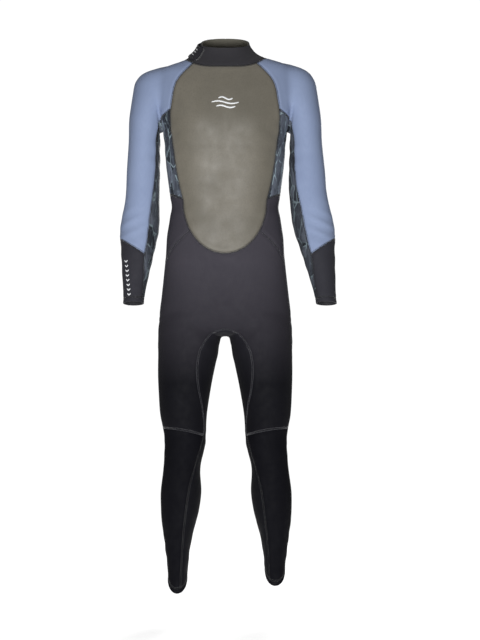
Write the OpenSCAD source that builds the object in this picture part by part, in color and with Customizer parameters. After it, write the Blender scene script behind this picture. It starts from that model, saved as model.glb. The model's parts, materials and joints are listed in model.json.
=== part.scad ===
// Full-length back-zip wetsuit, filled out as if worn.
// Millimetres, +Z up, the front faces -Y, the wearer's right side is at -X.
// The origin is the centre of the neck opening.

/* [Neoprene] */
// Thickness of the neoprene sheet
skin = 3; // [2:0.5:5]
// Thickness of the smooth lining inside the collar
lining = 1.5; // [1:0.5:2]

/* [Openings] */
// How far the collar's back edge stands above its front edge
collar_rise = 32; // [20:1:40]
// Height of the wrist openings
wrist_z = -692; // [-700:1:-680]
// How far a wrist opening's front edge is above its back edge
wrist_rise = 12; // [0:1:16]
// Lowest point of the wearer's left ankle opening
ankle_z = -1436; // [-1445:1:-1425]
// How much lower the wearer's right ankle opening sits
right_ankle_drop = 19; // [0:1:20]
// Slope of the ankle openings, lower at the instep, in degrees
ankle_slope = 40; // [20:1:45]
// Depth of the glued hems at wrists and ankles
hem = 12; // [8:1:16]

/* [Pose] */
// How far the wearer's left wrist swings out from the mirrored place of the right one
left_wrist_splay = 25; // [0:1:26]

/* [Zip] */
// Height of the zip's top end
zip_top_z = -38; // [-42:1:-36]
// Height of the zip's bottom end
zip_bottom_z = -448; // [-450:1:-440]
// Half width of the slot that the two tapes fill
zip_half = 13; // [12:0.5:15]
// Half width of the flap behind the zip
flap_half = 22; // [20:1:24]

/* [Hidden] */

// Colours
blue = [0.50, 0.57, 0.71];
black = [0.13, 0.13, 0.15];
charcoal = [0.22, 0.21, 0.24];
olive = [0.45, 0.43, 0.38];
print = [0.27, 0.32, 0.38];
metal = [0.55, 0.56, 0.58];

big = 900;            // larger than any half of the suit
join_gap = 0.35;      // least clear space between two bodies at a limb joint
squareness = 2.3;     // superellipse exponent of the torso's sections

// The arc of the spine, which the zip follows: its radius and its centre in Y and Z
zip_r = 750;
spine_y = 112 - zip_r;
spine_z = -250;
function spine(z) = spine_y + sqrt(zip_r * zip_r - (z - spine_z) * (z - spine_z));
function arc_angle(z) = asin((z - spine_z) / zip_r);

// Sections of the torso: [height, half width, front, back], Y at the front and at the back
torso_sections = concat(
    [for (r = [[34, 60, -60], [16, 62, -61], [0, 66, -62], [-8, 70, -63], [-24, 84, -65],
               [-40, 110, -69], [-56, 150, -76], [-72, 178, -84], [-88, 187, -91],
               [-120, 190, -102], [-160, 184, -112], [-200, 174, -118], [-240, 164, -119],
               [-280, 160, -116], [-320, 157, -110], [-375, 150, -105], [-431, 142, -102],
               [-455, 145, -101]])
        [r[0], r[1], r[2], spine(r[0])]],
    [[-487, 151, -101, 82], [-519, 155, -101, 87], [-567, 158, -100, 100],
     [-630, 164, -97, 115], [-694, 172, -94, 119], [-740, 176, -90, 111], [-779, 177, -84, 98]]);

// Sections of a limb: [height, centre X, half width, front, back]
arm_sections = [
    [-68, 172, 14, -12, 16], [-76, 177, 30, -28, 34], [-88, 183, 43, -41, 49],
    [-104, 188, 50, -50, 58], [-130, 193, 52, -55, 63], [-160, 199, 51, -56, 64],
    [-200, 206, 50, -53, 64], [-263, 213, 46, -47, 62], [-330, 215, 46, -42, 60],
    [-407, 219, 47, -35, 61], [-487, 228, 52, -29, 66], [-551, 233, 44, -35, 51],
    [-614, 238, 35.5, -39, 31], [-678, 242, 27.5, -44, 9], [-735, 245, 26.5, -54, -4]];
leg_sections = [
    [-716, 90, 82, -84, 104], [-779, 91, 86, -83, 99], [-822, 98, 80, -83, 90],
    [-870, 104, 74.5, -81, 81], [-918, 108, 69, -78, 74], [-981, 111, 62, -72, 64],
    [-1029, 108, 56, -67, 56], [-1061, 108, 54, -65, 54], [-1125, 117, 49, -55, 66],
    [-1189, 120, 54, -46, 77], [-1237, 123, 51, -42, 77], [-1269, 126, 46, -38, 73],
    [-1301, 128, 39.5, -33, 67], [-1333, 129.5, 34, -28, 62], [-1365, 129.5, 30, -24, 58],
    [-1397, 129.5, 27, -22, 55], [-1436, 130, 25.5, -22, 52], [-1500, 130, 26, -28, 48]];

// Limb joints: [centre Y, centre Z, radius of the round cut, its facets]
hip = [8, -745, 126, 48];
knee = [-4, -1050, 80, 36];
elbow = [18, -487, 70, 32];
shoulder = [212, -262, 62, 28]; // X and Z: the sleeve swings about Y
// How much wider the moving side is cut: its facets' flats come closest
function joint_gap(h) = join_gap + h[2] * (1 - cos(180 / h[3]));

// Outlines of the panels: [height, half width at that height]
chest_outline = [[-40, 60], [-61, 88], [-104, 126], [-154, 139], [-194, 144], [-231, 143],
                 [-269, 138], [-327, 130], [-375, 121], [-420, 110]];
chest_round_z = -420; // below this the chest panel ends in half an ellipse
chest_bottom_z = -557;
side_top = [[-186, 144], [-210, 155], [-250, 175]];
raglan_back = [[-36, 112], [-60, 112], [-90, 118], [-130, 130], [-190, 146], [-250, 175]];
side_back = [[-190, 146], [-250, 130], [-330, 114], [-420, 100]];
hip_seam = [[-495, 88], [-511, 108], [-537, 134], [-569, 153], [-604, 170], [-640, 220]];
inner_leg = [[-756, 0], [-762, 24], [-770, 38], [-799, 60], [-831, 70], [-864, 73], [-913, 69],
             [-966, 59], [-1029, 56], [-1100, 74], [-1165, 92], [-1242, 104], [-1333, 113],
             [-1460, 119]];
underarm = [[-150, 172], [-300, 181], [-400, 190], [-450, 198], [-520, 206], [-564, 213],
            [-620, 214], [-735, 224]];

// Cubic curve through the rows of a table [height, value, ...], falling in height
function slope(t, i, k) =
    let (a = max(i - 1, 0), b = min(i + 1, len(t) - 1)) (t[b][k] - t[a][k]) / (t[b][0] - t[a][0]);
function row_at(t, z, i = 0) = i >= len(t) - 2 || z > t[i + 1][0] ? i : row_at(t, z, i + 1);
function at(t, z, k = 1) =
    let (q = min(max(z, t[len(t) - 1][0]), t[0][0]), i = row_at(t, q),
         d = t[i + 1][0] - t[i][0], u = (q - t[i][0]) / d)
    t[i][k] * (1 + 2 * u) * (1 - u) * (1 - u) + t[i + 1][k] * u * u * (3 - 2 * u)
    + slope(t, i, k) * d * u * (1 - u) * (1 - u) - slope(t, i + 1, k) * d * u * u * (1 - u);
function steps(a, b, n) = [for (i = [0:n]) a + (b - a) * i / n];

// One point of a section, as the angle goes round from the front
function power(v, p) = sign(v) * pow(abs(v), p);
function section_point(cx, half, front, back, z, angle, exponent) =
    let (c = -cos(angle), mid = (front + back) / 2, p = 2 / exponent)
    [cx + half * power(sin(angle), p), mid + (back - front) / 2 * power(c, p), z];
function grid(t, heights, n, exponent, side) =
    [for (z = heights) [for (j = [0:n - 1])
        let (w = len(t[0]) == 4, splay = side == 1 && t == arm_sections)
        section_point(w ? 0 : side * (at(t, z, 1) + (splay ? left_splay(z) : 0)),
                      at(t, z, w ? 1 : 2), at(t, z, w ? 2 : 3), at(t, z, w ? 3 : 4),
                      z, 360 * j / n, exponent)]];
function left_splay(z) = left_wrist_splay * max(0, (-380 - z) / 298);

// The same grid moved along its surface normals, closed at both ends by a fan
function unit(v) = v / norm(v);
function normal(g, i, j) =
    let (m = len(g) - 1, n = len(g[0]))
    unit(cross(g[i][(j + 1) % n] - g[i][(j + n - 1) % n], g[min(i + 1, m)][j] - g[max(i - 1, 0)][j]));
module closed_loft(g, move = 0) {
    m = len(g) - 1;
    n = len(g[0]);
    wall = [for (i = [0:m]) for (j = [0:n - 1]) g[i][j] - move * normal(g, i, j)];
    ends = [for (i = [0, m]) [for (k = [0:2]) [for (v = g[i]) v[k]] * [for (v = g[i]) 1] / n]];
    top = len(wall);
    polyhedron(
        points = concat(wall, [[ends[0].x, ends[0].y, wall[0].z], [ends[1].x, ends[1].y, wall[top - 1].z]]),
        faces = concat(
            [for (i = [0:m - 1]) for (j = [0:n - 1]) let (k = (j + 1) % n)
                [i * n + j, i * n + k, (i + 1) * n + k]],
            [for (i = [0:m - 1]) for (j = [0:n - 1]) let (k = (j + 1) % n)
                [i * n + j, (i + 1) * n + k, (i + 1) * n + j]],
            [for (j = [0:n - 1]) [top, (j + 1) % n, j]],
            [for (j = [0:n - 1]) [top + 1, m * n + j, m * n + (j + 1) % n]]));
}

torso_grid = grid(torso_sections,
    concat(steps(34, -88, 7), steps(-110, -230, 3), steps(-270, -779, 11)), 28, squareness, 1);
arm_grids = [for (s = [-1, 1]) grid(arm_sections,
    concat(steps(-68, -104, 3), steps(-130, -263, 3), steps(-310, -735, 9)), 14, 2, s)];
leg_grids = [for (s = [-1, 1]) grid(leg_sections,
    concat(steps(-716, -1029, 6), steps(-1070, -1500, 9)), 16, 2, s)];

// The whole suit's skin between two offsets from the outer surface
module body(move) {
    closed_loft(torso_grid, move);
    for (g = arm_grids) closed_loft(g, move);
    for (g = leg_grids) closed_loft(g, move);
}
module skin_between(outer, inner) difference() {
    body(outer);
    body(inner);
}

// A sheet cut from the skin stays one faceted solid
module cut_sheet(outer = 0, inner = -skin) resize([0, 0, 0]) intersection() {
    skin_between(outer, inner);
    children();
}

// Prisms: an outline in X and Z run along Y, or an outline in Y and Z run along X
module along_y(outline, y0 = -big, y1 = big)
    translate([0, y1, 0]) rotate([90, 0, 0]) linear_extrude(y1 - y0) polygon(outline);
module along_x(outline, x0 = -big, x1 = big)
    translate([x0, 0, 0]) rotate([90, 0, 90]) linear_extrude(x1 - x0) polygon(outline);
module front_half() along_y([[-big, -1600], [big, -1600], [big, 200], [-big, 200]], -big, 0);
module back_half() along_y([[-big, -1600], [big, -1600], [big, 200], [-big, 200]], 0, big);
module side_half(s) translate([s * big / 2, 0, -700]) cube([big, 2 * big, 3 * big], center = true);
module below(z) translate([0, 0, z - big]) cube([4 * big, 4 * big, 2 * big], center = true);
module above(z) translate([0, 0, z + big]) cube([4 * big, 4 * big, 2 * big], center = true);

// The region outside a curve of half widths, on one side
function outside(t, s, z0, z1, n) =
    concat([for (z = steps(z0, z1, n)) [s * at(t, z), z]], [[s * big, z1], [s * big, z0]]);
function inside(t, z0, z1, n) =
    concat([for (z = steps(z0, z1, n)) [at(t, z), z]], [for (z = steps(z1, z0, n)) [-at(t, z), z]]);

// ---- Regions that several panels share ----

// The collar's top edge and the line of its lower seam, higher at the shoulders
module under_collar_edge()
    along_x([[-big, -collar_rise / 124 * big], [big, collar_rise / 124 * big], [big, -3 * big], [-big, -3 * big]]);
function collar_base(x, front) =
    front ? -67 + 26 * pow(x / 105, 4) : -58 + 17 * pow(x / 105, 2);
module collar_region() {
    for (f = [true, false])
        along_y(concat([for (x = steps(-118, 118, 12)) [x, collar_base(x, f)]], [[118, 60], [-118, 60]]),
                f ? -big : 0, f ? 0 : big);
}

module chest_region() along_y(concat(
    [for (z = steps(-40, chest_round_z, 9)) [at(chest_outline, z), z]],
    [for (a = [15:15:165]) [at(chest_outline, chest_round_z) * cos(a),
        chest_round_z + (chest_bottom_z - chest_round_z) * sin(a)]],
    [for (z = steps(chest_round_z, -40, 9)) [-at(chest_outline, z), z]]), -big, 0);

// The raglan sleeve: everything outside the seams from the collar to the armpit
module sleeve_region(s) {
    intersection() {
        front_half();
        along_y(concat([for (z = steps(-36, -180, 8)) [s * at(chest_outline, z), z]],
                       [for (z = steps(-186, -250, 4)) [s * at(side_top, z), z]],
                       [[s * big, -250], [s * big, -36]]));
    }
    intersection() {
        back_half();
        along_y(outside(raglan_back, s, -36, -250, 10));
    }
    along_y(arm_side(s, -249.9));
}
// The outline outside which everything belongs to an arm
function arm_side(s, top) = concat(
    [for (p = [[163.5, top], [165, -480], [183, -600], [200, -760]]) [s * p[0], p[1]]],
    [[s * big, -760], [s * big, top]]);
module underarm_region(s) along_y(concat(
    [for (z = steps(-150, -735, 8)) [s * (at(underarm, z) + (s == 1 ? left_splay(z) : 0)), z]],
    [[0, -735], [0, -150]]));
module wrist_cut(s, lift = 0) along_x(
    [[-big, wrist_z + lift + big * wrist_rise / 54], [big, wrist_z + lift - big * wrist_rise / 54],
     [big, 400], [-big, 400]], s == 1 ? 160 : -big, s == 1 ? big : -160);

// The far side of each limb joint, cut round about the hinge
module beyond_hinge(h, moving) difference() {
    translate([-big, -big, h[1] - big * 2]) cube([big * 2, big * 2, big * 2]);
    translate([0, h[0], h[1]]) rotate([0, 90, 0])
        cylinder(h = 4 * big, r = h[2] + (moving ? joint_gap(h) : 0), center = true, $fn = h[3]);
}
module forearm_zone(s, moving = true) intersection() {
    beyond_hinge(elbow, moving);
    along_y(arm_side(s, -400));
}
module arm_zone(s, moving = true) difference() {
    along_y(arm_side(s, shoulder[1]));
    translate([s * shoulder[0], 0, shoulder[1]]) rotate([90, 0, 0])
        cylinder(h = 4 * big, r = shoulder[2] + (moving ? joint_gap(shoulder) : 0), center = true,
                 $fn = shoulder[3]);
}
module thigh_zone(s, moving = true) intersection() {
    beyond_hinge(hip, moving);
    along_y([[0, -700], [s * 240, -700], [s * 240, -1600], [0, -1600]]);
}
module shin_zone(s, moving = true) intersection() {
    beyond_hinge(knee, moving);
    side_half(s);
}
module leg_half(s) along_y([[0, -700], [s * 240, -700], [s * 240, -1600], [0, -1600]]);

// What is left to each body once the moving limbs are taken off
module not_limbs() difference() {
    children();
    for (s = [-1, 1]) {
        arm_zone(s, false);
        thigh_zone(s, false);
    }
}

module inner_leg_region() along_y(inside(inner_leg, -756, -1460, 20));
// Front of the line that the outer leg seam follows
module leg_front() along_x(concat(
    [for (z = steps(-560, -1460, 10)) [side_seam_y(z), z]], [[-big, -1520], [-big, -560]]));
function side_seam_y(z) = z > -740 ? -8 : (at(leg_sections, z, 3) + at(leg_sections, z, 4)) / 2 - 12;
module knee_region(s) along_y(concat(
    [for (x = steps(0, 200, 5)) [s * x, -1016 - 20 * pow((160 - x) / 90, 2)]],
    [[s * 200, -1600], [0, -1600]]));
module ankle_cut(s, lift = 0) {
    low = ankle_z - (s == -1 ? right_ankle_drop : 0) + lift;
    rise = tan(ankle_slope);
    along_x([[-22 - big, low - big * rise], [-22 + big, low + big * rise], [-22 + big, 900], [-22 - big, 900]],
            s == 1 ? 0 : -big, s == 1 ? big : 0);
}
module zip_slot() {
    along_y([[-zip_half - 0.3, zip_top_z + 8], [zip_half + 0.3, zip_top_z + 8],
             [zip_half + 0.3, zip_bottom_z - 6], [-zip_half - 0.3, zip_bottom_z - 6]], 0, big);
    along_y([[-1, 100], [1, 100], [1, zip_top_z], [-1, zip_top_z]], 0, big);
}

// ---- Panels of the torso ----
module collar() color(charcoal) cut_sheet() difference() {
    intersection() {
        collar_region();
        under_collar_edge();
    }
    zip_slot();
}
module collar_lining() color(olive) cut_sheet(-skin, -skin - lining) difference() {
    intersection() {
        along_y([[-80, -44], [80, -44], [80, 60], [-80, 60]]);
        under_collar_edge();
        cylinder(h = 200, r = 78, center = true, $fn = 32);
    }
    along_y([[-1, 100], [1, 100], [1, -26], [14, -26], [14, -100], [-14, -100], [-14, -26], [-1, -26]], 0, big);
}
module chest_panel() color(olive) cut_sheet() difference() {
    chest_region();
    collar_region();
}
module front_panel() color(charcoal) cut_sheet() not_limbs() difference() {
    intersection() {
        union() {
            along_y(inside(hip_seam, -495, -640, 7));
            along_y([[-220, -640], [220, -640], [220, -900], [-220, -900]]);
            along_y([[-88, -495], [88, -495], [88, -470], [-88, -470]]);
        }
        leg_front_or_torso();
    }
    chest_region();
    inner_leg_region();
}
module leg_front_or_torso() along_x(concat(
    [for (z = steps(-400, -900, 5)) [side_seam_y(z), z]], [[-big, -900], [-big, -400]]));
module side_panel(s) color(print) cut_sheet() difference() {
    intersection() {
        side_half(s);
        below(-180);
        above(-470);
        along_y([[0, -100], [s * 163.4, -100], [s * 163.4, -398], [s * 110, -414], [s * 90, -420], [0, -420]]);
        union() {
            front_half();
            intersection() {
                back_half();
                along_y(outside(side_back, s, -190, -420, 8));
            }
        }
    }
    chest_region();
    sleeve_region(s);
}
module back_panel(s) color(black) cut_sheet() difference() {
    intersection() {
        side_half(s);
        back_half();
        along_y([[s * 250, -20], [s * 250, -398], [s * 110, -414], [s * 90, -420], [0, -470], [0, -20]]);
    }
    collar_region();
    sleeve_region(s);
    along_y(outside(side_back, s, -190, -420, 8));
    along_y([[s * 100, -400], [s * 300, -400], [s * 300, -500], [s * 100, -500]]);
    zip_slot();
}
module seat_panel() color(charcoal) cut_sheet() not_limbs() difference() {
    along_y([[-220, -380], [220, -380], [220, -900], [-220, -900]]);
    for (s = [-1, 1]) {
        along_y([[0, -380], [0, -470], [s * 90, -420], [s * 110, -414], [s * 163.4, -398], [s * 220, -380]]);
        sleeve_region(s);
    }
    chest_region();
    intersection() {
        union() {
            along_y(inside(hip_seam, -495, -640, 7));
            along_y([[-220, -640], [220, -640], [220, -900], [-220, -900]]);
            along_y([[-88, -495], [88, -495], [88, -470], [-88, -470]]);
        }
        leg_front_or_torso();
    }
    inner_leg_region();
}
module gusset() color(black) cut_sheet() not_limbs() inner_leg_region();

// ---- Sleeves ----
module shoulder_panel(s) color(blue) cut_sheet() difference() {
    intersection() {
        sleeve_region(s);
        above(-340);
    }
    collar_region();
    arm_zone(s, false);
}
module arm_part(s) difference() {
    intersection() {
        arm_zone(s);
        children();
    }
    forearm_zone(s, false);
}
module upper_sleeve(s) color(blue) cut_sheet() arm_part(s) difference() {
    sleeve_region(s);
    underarm_region(s);
}
module upper_underarm(s) color(print) cut_sheet() arm_part(s) underarm_region(s);
module lower_underarm(s) color(print) cut_sheet() intersection() {
    forearm_zone(s);
    underarm_region(s);
    wrist_cut(s, hem);
}
module cuff_panel(s) color(black) cut_sheet() difference() {
    intersection() {
        forearm_zone(s);
        wrist_cut(s, hem);
    }
    underarm_region(s);
}
module wrist_hem(s) color(black) cut_sheet() difference() {
    intersection() {
        forearm_zone(s);
        wrist_cut(s);
    }
    wrist_cut(s, hem);
}

// ---- Legs ----
module thigh_part(s) difference() {
    intersection() {
        thigh_zone(s);
        children();
    }
    shin_zone(s, false);
}
module thigh_front(s) color(charcoal) cut_sheet() thigh_part(s) difference() {
    leg_front();
    inner_leg_region();
    knee_region(s);
}
module knee_panel(s) color(black) cut_sheet() thigh_part(s) difference() {
    intersection() {
        leg_front();
        knee_region(s);
    }
    inner_leg_region();
}
module thigh_back(s) color(charcoal) cut_sheet() thigh_part(s) difference() {
    leg_half(s);
    leg_front();
    inner_leg_region();
}
module thigh_inner(s) color(black) cut_sheet() thigh_part(s) inner_leg_region();
module shin_panel(s) color(black) cut_sheet() difference() {
    intersection() {
        shin_zone(s);
        leg_front();
        ankle_cut(s, hem);
    }
    inner_leg_region();
}
module calf_panel(s) color(charcoal) cut_sheet() difference() {
    intersection() {
        shin_zone(s);
        ankle_cut(s, hem);
    }
    leg_front();
    inner_leg_region();
}
module calf_inner(s) color(black) cut_sheet() intersection() {
    shin_zone(s);
    inner_leg_region();
    ankle_cut(s, hem);
}
module ankle_hem(s) color(black) cut_sheet() difference() {
    intersection() {
        shin_zone(s);
        ankle_cut(s);
    }
    ankle_cut(s, hem);
}

// ---- Neck closure ----
tab_end = 50;    // degrees round from the front to the tab's free end, on the wearer's right
tab_fold = 150;  // degrees round to where the stitching ends and the tab peels
tab_root = 205;  // degrees round to the stitched end, just left of the spine
tab_low = -34;   // the tab's lower edge under the collar's top plane
tab_high = -5;
module neck_sector(a0, a1) linear_extrude(200, center = true)
    polygon(concat([[0, 0]], [for (a = steps(a0, a1, 6)) 160 * [-sin(a), -cos(a)]]));
module tab_band(low, high) along_x([for (p = [[-1, low], [1, low], [1, high], [-1, high]])
    [p[0] * big, p[1] + p[0] * big * collar_rise / 124]]);
module neck_tab() color(black) cut_sheet(4, 1) intersection() {
    neck_sector(tab_end, tab_fold - 1.6);
    tab_band(tab_low, tab_high);
}
module neck_tab_base() color(black) cut_sheet(4, 0.3) intersection() {
    neck_sector(tab_fold + 1.6, tab_root);
    tab_band(tab_low, tab_high);
}
module neck_hook_patch() color(charcoal) cut_sheet(0.95, 0.65) intersection() {
    neck_sector(tab_end + 4, tab_end + 50);
    tab_band(tab_low + 3, tab_high - 3);
}
module neck_loop_patch() color([0.2, 0.2, 0.22]) cut_sheet(0.35, 0.05) intersection() {
    neck_sector(tab_end - 2, tab_end + 62);
    tab_band(tab_low + 1, tab_high - 1);
}

// ---- Zip: everything is turned about the spine's centre, so Y is the radius ----
coil_in = 0.9;
coil_out = 4.2;
module on_spine(angle = 0) translate([0, spine_y, spine_z]) rotate([angle, 0, 0]) children();
// A strip along the arc: radii r0 to r1, X from x0 to x1, between two heights
module arc_strip(r0, r1, x0, x1, z_low, z_high) on_spine(arc_angle(z_low))
    rotate([90, 0, 90]) rotate_extrude(angle = arc_angle(z_high) - arc_angle(z_low), $fn = 720)
        translate([r0, x0]) square([r1 - r0, x1 - x0]);
module zip_tape(s) color(black) arc_strip(zip_r - 2, zip_r - 0.8,
    s == 1 ? coil_out + 0.1 : -zip_half, s == 1 ? zip_half : -coil_out - 0.1, zip_bottom_z - 5, zip_top_z + 7);
module zip_coil(s) color([0.25, 0.25, 0.27]) arc_strip(zip_r - 2.1, zip_r + 1.1,
    s == 1 ? coil_in : -coil_out, s == 1 ? coil_out : -coil_in, zip_bottom_z, zip_top_z);
module zip_top_stops() color(metal) for (x = [-5.2, 0.9])
    on_spine(arc_angle(zip_top_z + 3)) translate([x, zip_r - 0.7, -1.6]) cube([4.3, 2.4, 3.2]);
module zip_bottom_stop() color(metal) on_spine(arc_angle(zip_bottom_z - 2.6))
    translate([-5, zip_r - 0.7, -2]) cube([10, 2.6, 4]);
module zip_backing_flap() color(black) {
    arc_strip(zip_r - 9, zip_r - 6.5, -flap_half, flap_half, zip_bottom_z - 10, zip_top_z - 4);
    arc_strip(zip_r - 6.5, zip_r - 5.2, flap_half - 6, flap_half, zip_bottom_z - 10, zip_top_z - 4);
}

slider_z = zip_top_z - 11;
slider_len = 20;
slider_half = 6.2;
plate = 1.8;
outer_plate_r = zip_r + 1.6;
inner_plate_r = zip_r - 2.5 - plate;
pivot_r = outer_plate_r + plate + 2.2;
pin_r = 1;
module slider_plate(r) translate([0, r, 0]) rotate([-90, 0, 0]) {
    translate([-slider_half, -slider_len / 2 + 4, 0]) cube([2 * slider_half, slider_len - 4, plate]);
    translate([-slider_half + 3, -slider_len / 2, 0]) cube([2 * slider_half - 6, 5, plate]);
    for (x = [-1, 1]) translate([x * (slider_half - 3.2), -slider_len / 2 + 4, 0])
        cylinder(h = plate, r = 3.2, $fn = 40);
}
module zip_slider() color(metal) on_spine(arc_angle(slider_z)) difference() {
    union() {
        slider_plate(outer_plate_r);
        slider_plate(inner_plate_r);
        translate([-0.55, inner_plate_r + 0.5, 2]) cube([1.1, outer_plate_r - inner_plate_r, 6]);
        for (x = [-slider_half, slider_half - 1]) {
            translate([x, zip_r - 0.35, -slider_len / 2 + 2]) cube([1, 2.5, slider_len - 5]);
            translate([x, inner_plate_r + plate - 0.5, -slider_len / 2 + 2]) cube([1, 0.7, slider_len - 5]);
        }
        for (x = [-3.6, 2.4]) {
            translate([x, outer_plate_r + plate - 0.2, -2]) cube([1.2, 2.4, 4]);
            translate([x, pivot_r, 0]) rotate([0, 90, 0]) cylinder(h = 1.2, r = 2, $fn = 40);
        }
    }
    translate([-10, pivot_r, 0]) rotate([0, 90, 0]) cylinder(h = 20, r = pin_r + 0.05, $fn = 40);
}
puller_len = 34;
cord_hole_r = 2.6;
module zip_puller() color(metal) on_spine(arc_angle(slider_z)) difference() {
    union() {
        translate([-3.6, pivot_r, 0]) rotate([0, 90, 0]) cylinder(h = 7.2, r = pin_r, $fn = 40);
        translate([-2.1, pivot_r, 0]) rotate([0, 90, 0]) cylinder(h = 4.2, r = 1.9, $fn = 40);
        translate([-2.1, pivot_r - 0.9, -8]) cube([4.2, 1.8, 8]);
        translate([-5, pivot_r - 0.9, -puller_len + 5]) cube([10, 1.8, puller_len - 11]);
        translate([0, pivot_r - 0.9, -puller_len + 5]) rotate([-90, 0, 0]) cylinder(h = 1.8, r = 5, $fn = 60);
    }
    translate([0, pivot_r - 5, -puller_len + 5]) rotate([-90, 0, 0]) cylinder(h = 10, r = cord_hole_r, $fn = 60);
}

collar();
collar_lining();
neck_tab();
neck_tab_base();
neck_hook_patch();
neck_loop_patch();
chest_panel();
front_panel();
seat_panel();
gusset();
zip_tape(-1);  // zip_tape_right
zip_tape(1);  // zip_tape_left
zip_coil(-1);  // zip_coil_right
zip_coil(1);  // zip_coil_left
zip_top_stops();
zip_bottom_stop();
zip_backing_flap();
zip_slider();
zip_puller();
for (side = [["right", -1], ["left", 1]]) {
    s = side[1];
    side_panel(s);
    back_panel(s);
    shoulder_panel(s);
    upper_sleeve(s);
    upper_underarm(s);
    lower_underarm(s);
    cuff_panel(s);
    wrist_hem(s);
    thigh_front(s);
    thigh_back(s);
    thigh_inner(s);
    knee_panel(s);
    shin_panel(s);
    calf_panel(s);
    calf_inner(s);
    ankle_hem(s);
}
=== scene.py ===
"""Visual model of a full-length back-zip wetsuit, filled out as if worn.

Metres, +Z up, the front faces -Y, the wearer's right side is at -X, the origin is the centre of the
neck opening. One smooth skin is made from cross-sections, cut along the seams into panels, and each
panel becomes a closed sheet of neoprene. Threads, zip teeth and marks are added along the curves.
"""
import json
import math

import bpy
import numpy as np
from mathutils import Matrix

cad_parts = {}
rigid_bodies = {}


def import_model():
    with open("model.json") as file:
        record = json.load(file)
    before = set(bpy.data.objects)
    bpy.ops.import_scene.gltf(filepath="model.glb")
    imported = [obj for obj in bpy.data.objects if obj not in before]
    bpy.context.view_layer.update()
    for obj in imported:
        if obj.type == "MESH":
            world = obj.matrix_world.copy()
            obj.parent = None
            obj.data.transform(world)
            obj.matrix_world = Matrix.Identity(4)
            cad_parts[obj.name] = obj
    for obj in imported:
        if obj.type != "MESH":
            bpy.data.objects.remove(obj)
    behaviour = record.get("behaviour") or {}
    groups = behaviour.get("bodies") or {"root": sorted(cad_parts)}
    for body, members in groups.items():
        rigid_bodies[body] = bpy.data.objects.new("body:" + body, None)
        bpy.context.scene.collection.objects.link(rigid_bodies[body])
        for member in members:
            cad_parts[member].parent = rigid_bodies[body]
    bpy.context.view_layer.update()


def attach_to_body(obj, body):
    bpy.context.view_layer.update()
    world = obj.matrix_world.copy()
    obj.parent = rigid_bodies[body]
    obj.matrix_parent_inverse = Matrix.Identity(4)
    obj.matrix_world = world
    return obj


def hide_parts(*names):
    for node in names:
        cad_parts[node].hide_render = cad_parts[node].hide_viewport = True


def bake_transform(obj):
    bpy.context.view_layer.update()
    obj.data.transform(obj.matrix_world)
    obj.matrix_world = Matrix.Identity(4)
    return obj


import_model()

import openvdb
from mathutils import Vector
from mathutils.kdtree import KDTree

for startup in [obj for obj in bpy.context.scene.objects if obj.name in ("Cube", "Light", "Camera")]:
    bpy.data.objects.remove(startup)
MM = 0.001
SIDES = {"right": -1, "left": 1}

# ---- Dimensions, in millimetres ----
SKIN = 3.0              # thickness of the neoprene
GRID = 4.0              # spacing of the surface mesh
COLLAR_SLOPE = 42.6 / 124   # rise of the collar's top from front to back
COLLAR_MIDDLE = 5.3
WRIST_Z = -692
WRIST_SLOPE = 12 / 54
ANKLE_LOW = {1: -1436, -1: -1455}
ANKLE_SLOPE = math.tan(math.radians(40))
HEM = 12
LEFT_SPLAY = 25         # how far the left wrist stands out further than the right one
LEFT_SLEEVE_EASE = 5.5  # how much looser the left sleeve is at the elbow
LEFT_SHOULDER_RISE = 5
RIGHT_SHOULDER_DROP = 5
SHIN_LEAN = 3
ZIP_R = 750
SPINE_Y = 112 - ZIP_R
SPINE_Z = -250
ZIP_TOP = -38
ZIP_BOTTOM = -448
ZIP_HALF = 11
SLIT_HALF = 1.2         # half width of the zip's slit through the collar
RAGLAN_TOP = -178       # where the raglan seam leaves the chest panel
UNDERARM_TOP = -206
CROTCH_Z = -756
WRIST_TOP = -600        # the wrists' edges are looked for below this, and the ankles' below the next
ANKLE_TOP = -1300
BACK_Y = 40             # what lies behind this is the back, about the zip
SLOT_TOP = ZIP_TOP + 8
SLOT_BOTTOM = ZIP_BOTTOM - 6
TOP, BOTTOM = 999, -9999
ARM_SPLIT = -402        # unseen split of the sleeve, between the shoulder and the elbow
LEG_SPLIT = -960        # unseen split of the leg, between the hip and the knee


def curve(rows):
    """A smooth function through [height, value] rows that fall in height."""
    rows = np.array(sorted(rows), float)
    height, value = rows[:, 0], rows[:, 1]
    slope = np.gradient(value, height) if len(rows) > 2 else np.full(2, np.ptp(value) / np.ptp(height))
    slope[1:-1] = (value[2:] - value[:-2]) / (height[2:] - height[:-2])

    fine = np.linspace(height[0], height[-1], int(np.ptp(height)) + 2)
    i = np.clip(np.searchsorted(height, fine) - 1, 0, len(height) - 2)
    d = height[i + 1] - height[i]
    u = (fine - height[i]) / d
    smooth = (value[i] * (1 + 2 * u) * (1 - u) ** 2 + value[i + 1] * u * u * (3 - 2 * u)
              + slope[i] * d * u * (1 - u) ** 2 - slope[i + 1] * d * u * u * (1 - u))
    return lambda z: np.interp(z, fine, smooth)


def spine(z):
    return SPINE_Y + np.sqrt(ZIP_R ** 2 - (z - SPINE_Z) ** 2)


def table(rows, column):
    return curve([(row[0], row[column]) for row in rows])


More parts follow.
